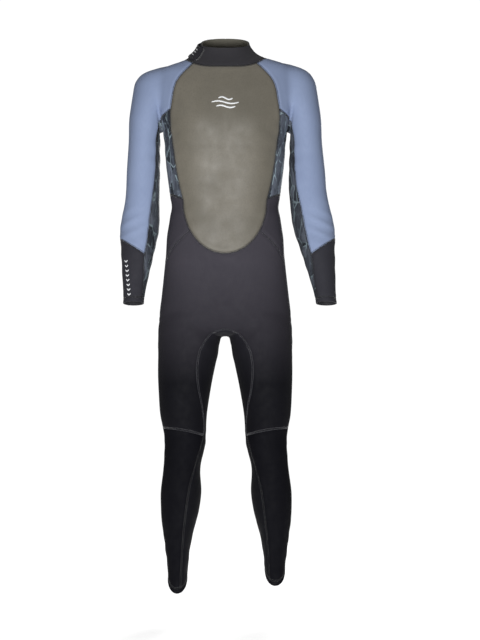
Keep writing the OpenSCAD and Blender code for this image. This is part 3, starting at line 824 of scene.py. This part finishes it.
# The same print with painted shade, darker as in the shadow under the arms.
SHADED_PRINT = printed("shaded_underarm_printed_jersey", shade=0.5)
LINING = jersey("lining_jersey", linear(122, 119, 108), linear(102, 99, 90))
INSIDE = jersey("inside_jersey", linear(38, 38, 42), linear(52, 52, 56))
THREAD = thread("seam_thread", linear(74, 74, 82), linear(44, 44, 50))
DARK_THREAD = thread("dark_seam_thread", linear(28, 29, 34), linear(15, 16, 19))
TAPE = tape_weave("zip_tape_cloth", linear(24, 24, 28), linear(50, 50, 56))
HOOKS = hook_tape("hook_tape", linear(16, 16, 18), linear(58, 58, 62), 900)
LOOPS = hook_tape("loop_tape", linear(20, 20, 22), linear(54, 54, 58), 500)
TEETH = moulded("zip_teeth_plastic", linear(34, 34, 38), linear(58, 58, 62))
METAL = metal("zip_metal")
MARK = mark_paint()


# ---- Meshes ----
def make_object(name, vertices, faces, materials, indexes=None, sharp=None):
    mesh = bpy.data.meshes.new(name)
    mesh.from_pydata((np.asarray(vertices) * MM).tolist(), [], faces)
    for material in materials:
        mesh.materials.append(material)
    mesh.polygons.foreach_set("use_smooth", np.ones(len(mesh.polygons), bool))
    if indexes is not None:
        mesh.polygons.foreach_set("material_index", np.asarray(indexes, np.int32))
    if sharp is not None:
        found = np.empty(len(mesh.edges) * 2, np.int32)
        mesh.edges.foreach_get("vertices", found)
        found = np.sort(found.reshape(-1, 2), axis=1).astype(np.int64)
        mark = np.isin(found[:, 0] * len(mesh.vertices) + found[:, 1], sharp)
        mesh.attributes.new("sharp_edge", "BOOLEAN", "EDGE").data.foreach_set("value", mark)
    mesh.update()
    obj = bpy.data.objects.new(name, mesh)
    bpy.context.scene.collection.objects.link(obj)
    return obj


def closed(name, top, under, inner, rim, materials):
    """Two alike surfaces, joined by a sharp-edged rim along the given edges of the first."""
    n = len(top)
    sides = np.stack([rim[:, 1], rim[:, 0], rim[:, 0] + n, rim[:, 1] + n], 1)
    faces = inner.tolist() + (inner[:, ::-1] + n).tolist() + sides.tolist()
    pair = np.sort(rim, axis=1).astype(np.int64)
    sharp = np.concatenate([pair[:, 0] * 2 * n + pair[:, 1], (pair[:, 0] + n) * 2 * n + pair[:, 1] + n])
    indexes = np.arange(len(faces)) >= len(inner) if len(materials) > 1 else None
    return make_object(name, np.concatenate([top, under]), faces, materials, indexes, sharp)


def sheet(name, keep, material, near=0.0, far=-SKIN, inside=None):
    """A closed sheet of neoprene over the chosen triangles, between two offsets from the surface."""
    index, local = np.unique(tris[keep], return_inverse=True)
    local = local.reshape(-1, 3)
    n = len(index)
    directed = directed_edges(local)
    key = directed[:, 0].astype(np.int64) * n + directed[:, 1]
    back = directed[:, 1].astype(np.int64) * n + directed[:, 0]
    rim = directed[~np.isin(key, back)]
    top, under = (outer[index] + normals[index] * offset for offset in (near, far))
    return closed(name, top, under, local, rim, [material, inside or INSIDE])


# Where the neoprene bends at each joint: the bodies that it joins, and the bend's two ends on the left
BENDS = {"shoulder": ("suit", "upper_arm", (165, 0, -266), (222.5, 0, -365.59)),
         "elbow": ("upper_arm", "forearm", (0, 0, -405), (0, 0, -569)),
         "hip": ("suit", "thigh", (0, 0, -792), (91.91, 0, -883.91)),
         "knee": ("thigh", "lower_leg", (0, 0, -968), (0, 0, -1132))}


def attach(obj, zone):
    """Let a piece ride on its body; a piece at a joint, or at the tab's root, is left in place on its own.
    """
    side, _, part = zone.partition("_")
    if part in BENDS:
        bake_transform(obj)
    elif zone == "tab root":
        fold = round_neck(np.array([TAB_FOLD + 8.0, TAB_FOLD - 8.0]), np.array([-20.0, -20.0])) * MM
        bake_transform(obj)
    else:
        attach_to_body(obj, zone or "suit")


PANELS = {
    "side_panel": (PRINT, "", ["side_panel"]),
    "back_panel": (BLACK, "", ["back_panel"]),
    "sleeve_shoulder": (BLUE, "shoulder", ["shoulder"]),
    "underarm_upper": (SHADED_PRINT, "shoulder", ["upper_underarm"]),
    "sleeve_elbow": (BLUE, "elbow", ["upper_sleeve"]),
    "underarm_lower": (SHADED_PRINT, "elbow", ["lower_underarm"]),
    "cuff": (CUFF, "elbow", ["cuff_panel"]),
    "wrist_hem": (CUFF, "elbow", ["wrist_hem"]),
    "front_panel": (CHARCOAL, "hip", ["thigh_front"]),
    "seat_panel": (CHARCOAL, "hip", ["thigh_back"]),
    "gusset": (INNER, "hip", ["thigh_inner"]),
    "knee_top": (CHARCOAL, "knee", []),
    "shin_panel": (DEEP, "knee", ["knee_panel", "shin_panel"]),
    "calf_panel": (CHARCOAL, "knee", ["calf_panel"]),
    "inner_leg": (INNER, "knee", ["calf_inner"]),
    "ankle_hem": (DEEP, "knee", ["ankle_hem"]),
}


def done(obj, zone="", nodes=()):
    attach(obj, zone)
    if nodes:
        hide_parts(*nodes)


for side in SIDES:
    for part, (material, zone, nodes) in PANELS.items():
        near = 0.5 if "hem" in part else 0.0
        piece = sheet(f"{side}_{part}_cloth", names == f"{side}_{part}", material, near)
        both = [part] if side == "right" and part in ("front_panel", "seat_panel", "gusset") else []
        done(piece, f"{side}_{zone}" if zone else "", [f"{side}_{node}" for node in nodes] + both)
done(sheet("chest_panel_cloth", names == "chest_panel", SMOOTH), nodes=["chest_panel"])
done(sheet("collar_cloth", names == "collar", COLLAR_CLOTH), nodes=["collar"])
collar_and_slit = (names == "collar") | (names == "slit")
done(sheet("collar_lining_cloth", collar_and_slit, LINING, -SKIN, -SKIN - 1.5, LINING),
     nodes=["collar_lining"])


# ---- Places on the surface ----
def lifted(p, offset=0.0):
    """The folded surface at places near it, and its normals, as the panels have them."""
    p = project(p, 3)
    n = normals_at(p)
    rise = folds(p, n) + seam_dip(np.array([tree.find(q)[2] for q in p]))
    return p + n * (rise[:, None] + np.asarray(offset).reshape(-1, 1)), n


def on_front(x, z):
    """The front surface at each X and Z."""
    p = np.stack([x, np.full_like(x, -75.0), z], 1)
    for _ in range(14):
        step = np.zeros(3)
        step[1] = 0.5
        slope = (field(p + step) - field(p - step)) / 1.0
        p[:, 1] -= np.clip(field(p) / np.where(np.abs(slope) < 0.2, -0.2, slope), -15, 15)
    return p


def round_neck(angle, drop):
    """The collar's surface at an angle round from the front and a distance under its top plane."""
    direction = np.stack([-np.sin(np.radians(angle)), -np.cos(np.radians(angle))], 1)

    def place(radius):
        height = COLLAR_MIDDLE + COLLAR_SLOPE * direction[:, 1] * radius + drop
        return np.column_stack([direction * radius[:, None], height])

    radius = np.full(len(angle), 85.0)
    for _ in range(20):
        here = field(place(radius))
        slope = (field(place(radius + 0.5)) - here) / 0.5
        radius -= np.clip(here / np.maximum(slope, 0.15), -8, 8)
    return place(radius)


def chains(pairs):
    """Join edges end to end into lines of vertices."""
    links = {}
    for a, b in pairs.tolist():
        links.setdefault(a, []).append(b)
        links.setdefault(b, []).append(a)
    lines = []
    ends = [v for v, other in links.items() if len(other) != 2]
    for start in ends + list(links):
        while links[start]:
            line = [start]
            here = start
            while links[here] and (len(line) == 1 or len(links[here]) == 1):
                after = links[here].pop()
                links[after].remove(here)
                line.append(after)
                here = after
            lines.append(line)
    return lines


def resample(p, spacing):
    length = np.concatenate([[0], np.cumsum(np.linalg.norm(np.diff(p, axis=0), axis=1))])
    count = max(2, int(round(length[-1] / spacing)) + 1)
    at = np.linspace(0, length[-1], count)
    return np.stack([np.interp(at, length, p[:, i]) for i in range(3)], 1)


def smooth_line(p, rounds=6):
    for _ in range(rounds):
        p[1:-1] = 0.5 * p[1:-1] + 0.25 * (p[:-2] + p[2:])
    return p


def across_line(p, n):
    """Unit vectors along the surface, square to a line on it."""
    across = np.cross(np.gradient(p, axis=0), n)
    return across / np.maximum(np.linalg.norm(across, axis=1), 1e-9)[:, None]


def tube_faces(rings, sides):
    """The four-sided faces between one ring of points and the next."""
    i, j = np.meshgrid(np.arange(rings - 1), np.arange(sides), indexing="ij")
    k = (j + 1) % sides
    return (sides * np.stack([i, i, i + 1, i + 1], -1) + np.stack([j, k, k, j], -1)).reshape(-1, 4)


class Tubes:
    """Collects thin tubes into one mesh."""

    def __init__(self):
        self.points, self.faces, self.count, self.indexes = [], [], 0, []

    def add(self, p, normal, radius, sides=4, index=0):
        if len(p) < 2:
            return
        tangent = np.gradient(p, axis=0)
        tangent /= np.maximum(np.linalg.norm(tangent, axis=1), 1e-9)[:, None]
        across = across_line(p, normal)
        up = np.cross(across, tangent)
        angle = 2 * np.pi * np.arange(sides) / sides
        ring = (across[:, None] * np.cos(angle)[None, :, None] + up[:, None] * np.sin(angle)[None, :, None])
        self.points.append((p[:, None] + radius * ring).reshape(-1, 3))
        self.faces += (self.count + tube_faces(len(p), sides)).tolist()
        last = self.count + sides * (len(p) - 1)
        self.faces += [list(range(self.count, self.count + sides))[::-1], list(range(last, last + sides))]
        self.count += sides * len(p)
        self.indexes += [index] * (len(self.faces) - len(self.indexes))

    def make(self, name, materials):
        return make_object(name, np.concatenate(self.points), self.faces, materials, self.indexes)


# ---- Flatlock stitching along the seams, and a row along each hem and opening ----
STITCH = 2.6        # length of one zigzag
STITCH_HALF = 2.3   # half width of the zigzag
HEM_ROW = 5         # distance of a hem's row of stitches from its edge


def zone_of(p):
    """Which joint's piece each place belongs to, as text."""
    side = np.where(p[:, 0] > 0, "left_", "right_")
    arm = (sleeve_seam(p) > 2) & (collar_seam(p) < 0)
    part = np.where(arm, np.where(p[:, 2] > ARM_SPLIT, "shoulder", "elbow"),
                    np.where(p[:, 2] > -560, "", np.where(p[:, 2] > LEG_SPLIT, "hip", "knee")))
    return np.where(part == "", "", np.char.add(side, part))


def in_one_go(lines, offset=0.0):
    """lifted() for many lines at once."""
    p, n = lifted(np.concatenate(lines), offset)
    breaks = np.cumsum([len(line) for line in lines])[:-1]
    return list(zip(np.split(p, breaks), np.split(n, breaks)))


# The pairs of panels whose seam is sewn with the lighter thread
LIGHT_SEAMS = ({"front", "inner"}, {"front", "shin_panel"}, {"front", "seat"}, {"seat", "back_panel"},
               {"seat", "inner"})


def seam_lines(zone, zones):
    """One zone's seams and rims, as lines of places on the surface, and which thread each seam has."""
    seams, rims, light = [], [], []
    middles = points[edges].mean(1)
    rim_here = is_rim & (collar_top(middles) < -3) & (np.abs(middles[:, 0]) > 5)
    pair_key = np.minimum(fam_a, fam_b) * 1000 + np.maximum(fam_a, fam_b)
    for chosen, lines in ((is_seam, seams), (rim_here, rims)):
        pick = chosen & (zones == zone)
        for key in np.unique(pair_key[pick]):
            found = [points[line] for line in chains(edges[pick & (pair_key == key)]) if len(line) > 3]
            lines += [smooth_line(resample(smooth_line(line), STITCH / 2), 3) for line in found]
            both = {family_list[k].replace("left_", "").replace("right_", "") for k in divmod(key, 1000)}
            if lines is seams:
                light += [int(both in LIGHT_SEAMS)] * len(found)
    return seams, rims, light


def stitches(zone, zones):
    """The stitching of one zone as a piece: zigzags with a rail each side on seams, a row along rims."""
    tubes = Tubes()
    seams, rims, light = seam_lines(zone, zones)
    zigzags, rails = [], []
    for p, n in in_one_go(seams):
        across = across_line(p, n) * STITCH_HALF
        zigzags.append(p + across * np.where(np.arange(len(p)) % 2, 1, -1)[:, None])
        rails += [p[::2] + across[::2], p[::2] - across[::2]]
    for (p, n), index in zip(in_one_go(zigzags, 0.45), light):
        tubes.add(p, n, 0.34, 3, index)
    for (p, n), index in zip(in_one_go(rails, 0.4), np.repeat(light, 2)):
        tubes.add(p, n, 0.4, 4, int(index))
    if rims:
        rows = [p + inner_way(p, n) * HEM_ROW for p, n in in_one_go(rims)]
        for p, n in in_one_go(rows, 0.15):
            tubes.add(p[::2], n[::2], 0.35)
    done(tubes.make((zone or "body") + "_stitching", [DARK_THREAD, THREAD]), zone)


def inner_way(p, n):
    """Unit vectors from a rim line towards the neoprene."""
    across = across_line(p, n)
    found = label(project(p + across * 6, 2)) != ""
    return across if found.mean() > 0.5 else -across


edge_zones = zone_of(points[edges].mean(1))
for zone in np.unique(edge_zones[is_seam]):
    stitches(str(zone), edge_zones)


# ---- Strips round the neck ----
def neck_strip(name, material, angles, drops, near, far, corner, bulge=0.0):
    """A closed strip round the collar; drops are its lower and upper edge, corner rounds its free end."""
    columns, rows = 90, 16
    a = np.linspace(angles[0], angles[1], columns)
    v = np.linspace(0, 1, rows)
    aa, vv = np.meshgrid(a, v, indexing="ij")
    reach = np.clip((aa - angles[0]) / corner, 0, 1)
    squeeze = 1 - 0.22 * (1 - np.sqrt(1 - (1 - reach) ** 2))
    middle = (drops[0] + drops[1]) / 2
    drop = middle + (drops[0] + (drops[1] - drops[0]) * vv - middle) * squeeze
    base = round_neck(aa.ravel(), drop.ravel())
    n = normals_at(base)
    stand = bulge * np.exp(-((aa.ravel() - 80) / 22) ** 2) * (0.25 + 0.75 * vv.ravel())
    top = base + n * (near + stand)[:, None]
    under = base + n * (far + stand)[:, None]
    i, j = np.meshgrid(np.arange(columns - 1), np.arange(rows - 1), indexing="ij")
    quads = np.stack([i * rows + j, i * rows + j + 1, (i + 1) * rows + j + 1, (i + 1) * rows + j], -1)
    number = np.arange(columns * rows).reshape(columns, rows)
    ring = np.concatenate([number[0], number[1:, -1], number[-1, -2::-1], number[-2:0:-1, 0]])
    rim = np.stack([ring, np.roll(ring, -1)], 1)
    obj = closed(name, top, under, quads.reshape(-1, 4), rim, [material])
    return obj, top.reshape(columns, rows, 3), n.reshape(columns, rows, 3)


TAB_END, TAB_FOLD, TAB_ROOT = 50, 150, 205
TAB_LOW, TAB_HIGH = -34, -5


tab, tab_grid, tab_normals = neck_strip("neck_tab_cloth", BLACK, (TAB_END, TAB_ROOT), (TAB_LOW, TAB_HIGH),
                                        4.0, 1.0, corner=9, bulge=3.5)
done(tab, "tab root", ["neck_tab", "neck_tab_base"])
hooks, _, _ = neck_strip("neck_tab_hooks", HOOKS, (TAB_END + 4, TAB_END + 46), (TAB_LOW + 4, TAB_HIGH - 4),
                         1.0, 0.55, corner=4, bulge=3.5)
done(hooks, "neck_tab", ["neck_hook_patch"])
loops, _, _ = neck_strip("neck_loop_patch_cloth", LOOPS, (TAB_END - 3, TAB_END + 62),
                         (TAB_LOW + 1, TAB_HIGH - 1), 0.5, 0.0, corner=4)
done(loops, nodes=["neck_loop_patch"])


def inset(grid):
    """A line just inside the tab's edge."""
    return np.concatenate([grid[3:-3, 1], grid[-3, 1:-1], grid[3:-3, -2][::-1], grid[3, 1:-1][::-1],
                           grid[3:4, 1]])


# A stitched row round the tab, and two across its root
tab_rows = Tubes()
root_rows = [(tab_grid[k, 1:-1], tab_normals[k, 1:-1]) for k in (-7, -9)]
for p, n in [(inset(tab_grid), inset(tab_normals))] + root_rows:
    tab_rows.add(p + n * 0.15, n, 0.38)
done(tab_rows.make("neck_tab_stitching", [DARK_THREAD]), "tab root")


# ---- Zip ----
def spine_place(angle, radius, x):
    """A place on the zip's arc: the angle up from its centre, the radius and X."""
    return np.stack([x + 0 * angle, SPINE_Y + radius * np.cos(angle), SPINE_Z + radius * np.sin(angle)], -1)


def arc_angle(z):
    return math.asin((z - SPINE_Z) / ZIP_R)


def arc_strip(name, material, profile, low, high):
    """A closed strip along the spine, from a closed outline of [X, radius offset]."""
    steps = 220
    angles = np.linspace(arc_angle(low), arc_angle(high), steps)
    x, out = np.array(profile, float).T
    count = len(x)
    p = np.concatenate([spine_place(np.full(count, a), ZIP_R + out, x) for a in angles])
    ends = [list(range(count))[::-1], list(range((steps - 1) * count, steps * count))]
    return make_object(name, p, tube_faces(steps, count).tolist() + ends, [material])


def teeth(name, s):
    """One row of moulded teeth, each a rounded block with a nose that reaches across the middle."""
    pitch = 2.54 / ZIP_R
    low, high = arc_angle(ZIP_BOTTOM + 0.8), arc_angle(ZIP_TOP - 0.8)
    outline = [(4.4, -0.55), (4.4, 0.55), (2.6, 0.8), (1.4, 0.62), (0.5, 0.95), (-0.45, 0.6),
               (-0.45, -0.6), (0.5, -0.95), (1.4, -0.62), (2.6, -0.8)]
    heights = [(-1.9, 0.82), (-1.5, 1.0), (0.6, 1.0), (1.0, 0.8)]
    p, faces = [], []
    count = len(outline)
    start = low + (pitch / 2 if s > 0 else 0)
    for number in range(int((high - start) / pitch) + 1):
        angle = start + number * pitch
        base = len(p)
        for radius, share in heights:
            for x, along in outline:
                away = s * (2 + (x - 2) * share)
                p.append(spine_place(angle + along * share / ZIP_R, ZIP_R + radius, away))
        faces += (base + tube_faces(len(heights), count)[:, ::s]).tolist()
        bottom, top = (list(range(first, first + count)) for first in (base, base + 3 * count))
        faces += [bottom[::-s], top[::s]]
    obj = make_object(name, p, faces, [TEETH])
    obj.data.polygons.foreach_set("use_smooth", np.zeros(len(obj.data.polygons), bool))
    return obj


for side, s in SIDES.items():
    profile = [(x * s, out) for x, out in [(16, -2.2), (16, -1.2), (5.6, -1.0), (4.9, -0.5), (3.9, -0.4),
                                           (3.6, -1.1), (3.9, -1.9), (5.2, -2.1)]]
    tape = arc_strip(f"zip_tape_{side}_cloth", TAPE, profile[::s], ZIP_BOTTOM - 5, ZIP_TOP + 7)
    done(tape, nodes=[f"zip_tape_{side}"])
    done(teeth(f"zip_teeth_{side}", s), nodes=[f"zip_coil_{side}"])
flap = arc_strip("zip_backing_flap_cloth", BLACK,
                 [(22, -8.2), (21, -6.8), (18, -6.2), (-18, -6.2),
                  (-21, -6.8), (-22, -8.2), (-18, -9), (18, -9)],
                 ZIP_BOTTOM - 10, ZIP_TOP - 4)
done(flap, nodes=["zip_backing_flap"])

for node in ("zip_slider", "zip_puller", "zip_top_stops", "zip_bottom_stop"):
    obj = bpy.data.objects[node]
    for slot in obj.material_slots:
        slot.material = METAL


# ---- Generic marks, in place of the maker's ----
def ribbon(p, n, half, height=0.22):
    """A thin raised printed line: points and faces of a flat closed band."""
    wide = half * np.sqrt(np.clip(1 - np.linspace(-1, 1, len(p)) ** 6, 0.02, 1))[:, None] * across_line(p, n)
    low, high, count = n * -0.1, n * height, len(p)
    verts = np.concatenate([p - wide + low, p + wide + low, p + wide + high, p - wide + high])
    i = np.arange(count - 1)
    faces = []
    for k in range(4):
        a, b = k * count, ((k + 1) % 4) * count
        faces += np.stack([a + i, a + i + 1, b + i + 1, b + i], 1).tolist()
    ends = [[0, count, 2 * count, 3 * count], [4 * count - 1, 3 * count - 1, 2 * count - 1, count - 1]]
    return verts, faces + ends


def mark(name, lines, half, zone):
    """Printed lines as one piece; each line is its places and their normals."""
    verts, faces, start = [], [], 0
    for p, n in lines:
        v, f = ribbon(p, n, half)
        verts.append(v)
        faces += [[k + start for k in face] for face in f]
        start += len(v)
    done(make_object(name, np.concatenate(verts), faces, [MARK]), zone)


def front_lines(lines):
    return [lifted(on_front(x, z), 0.05) for x, z in lines]


def wave(x0, x1, z, height):
    x = np.linspace(x0, x1, 40)
    return x, z + height * np.sin((x - x0) / (x1 - x0) * 2 * np.pi)


def chevron(x, z):
    across = np.linspace(-1, 1, 24)
    return x + 4.5 * across, z + 4.5 * np.abs(across) - 2


waves = [wave(-17, 21, -154, 3.5), wave(-35, 37, -165, 3.5), wave(-23, 28, -176, 3.0)]
mark("chest_mark", front_lines(waves), 2.0, "")
chevrons = [chevron(-262 + step * 1.2, -576 - step * 12.5) for step in range(8)]
mark("right_forearm_mark", front_lines(chevrons), 1.5, "right_elbow")
bars = [(tab_grid[7:14, row], tab_normals[7:14, row]) for row in (4, 7, 10)]
mark("neck_tab_mark", [(p + 0.05 * n, n) for p, n in bars], 1.3, "neck_tab")


# ---- Floor, lights and camera ----
FLOOR_Z = -1.53


def make_floor():
    """A pale floor that fades out at its edge into the pale room."""
    bpy.ops.mesh.primitive_plane_add(size=12, location=(0, 0, FLOOR_Z))
    floor = bpy.context.object
    floor.name = "floor"
    m = Nodes("floor_paint", 0.9, specular=0.1)
    m.finish(m.mix(m.ranged(m.noise(3, 3), 0.3, 0.7), linear(246, 246, 246), linear(250, 250, 250)))
    m.shader.inputs["Emission Color"].default_value = (1, 1, 1, 1)
    m.shader.inputs["Emission Strength"].default_value = 0.45
    away = m.made("ShaderNodeVectorMath", "Value", {0: m.place}, operation="LENGTH")
    clear = m.made("ShaderNodeBsdfTransparent", 0, {})
    faded = m.made("ShaderNodeMixShader", 0, {0: m.ranged(away, 0.6, 2.2), 1: m.shader.outputs[0], 2: clear})
    m.link(faded, m.tree.nodes["Material Output"].inputs["Surface"])
    floor.data.materials.append(m.material)


def make_room(seen, given):
    """A plain room: how bright it looks, and how much light it gives."""
    world = bpy.data.worlds.new("studio")
    world.use_nodes = True
    tree = world.node_tree
    background = tree.nodes["Background"]
    path = tree.nodes.new("ShaderNodeLightPath")
    strength = tree.nodes.new("ShaderNodeMapRange")
    tree.links.new(path.outputs["Is Camera Ray"], strength.inputs["Value"])
    strength.inputs["To Min"].default_value = given
    strength.inputs["To Max"].default_value = seen
    tree.links.new(strength.outputs["Result"], background.inputs["Strength"])
    background.inputs["Color"].default_value = (1, 1, 1, 1)
    bpy.context.scene.world = world


def area(name, place, target, size, power):
    data = bpy.data.lights.new(name, "AREA")
    data.shape, data.size, data.energy = "DISK", size, power
    light = bpy.data.objects.new(name, data)
    light.location = place
    light.rotation_euler = (Vector(target) - Vector(place)).to_track_quat("-Z", "Y").to_euler()
    bpy.context.scene.collection.objects.link(light)


make_floor()
make_room(seen=1.05, given=0.12)
area("key", (-0.7, -2.6, -0.75), (0, 0, -0.4), 0.8, 44)
area("fill", (0.75, -2.6, -0.7), (0, 0, -0.4), 0.8, 28)
area("back_key", (0.7, 2.8, 0.1), (0, 0, -0.5), 1.2, 62)
area("top", (0, 0.2, 2.4), (0, 0, -0.3), 1.6, 12)
bpy.context.scene.view_settings.view_transform = "Standard"

DISTANCE = 5.0
VIEW_CENTRE = (0.0395, -0.7315)      # X and Z at the middle of the picture
VIEW_HEIGHT = 1.7024                # height of the picture at the suit, in metres
camera_data = bpy.data.cameras.new("camera")
camera_data.sensor_fit = "VERTICAL"
camera_data.sensor_height = 24
camera_data.lens = 24 * DISTANCE / VIEW_HEIGHT
camera = bpy.data.objects.new("camera", camera_data)
camera.location = (VIEW_CENTRE[0], -DISTANCE, VIEW_CENTRE[1])
camera.rotation_euler = (math.radians(90), 0, 0)
bpy.context.scene.collection.objects.link(camera)
bpy.context.scene.camera = camera
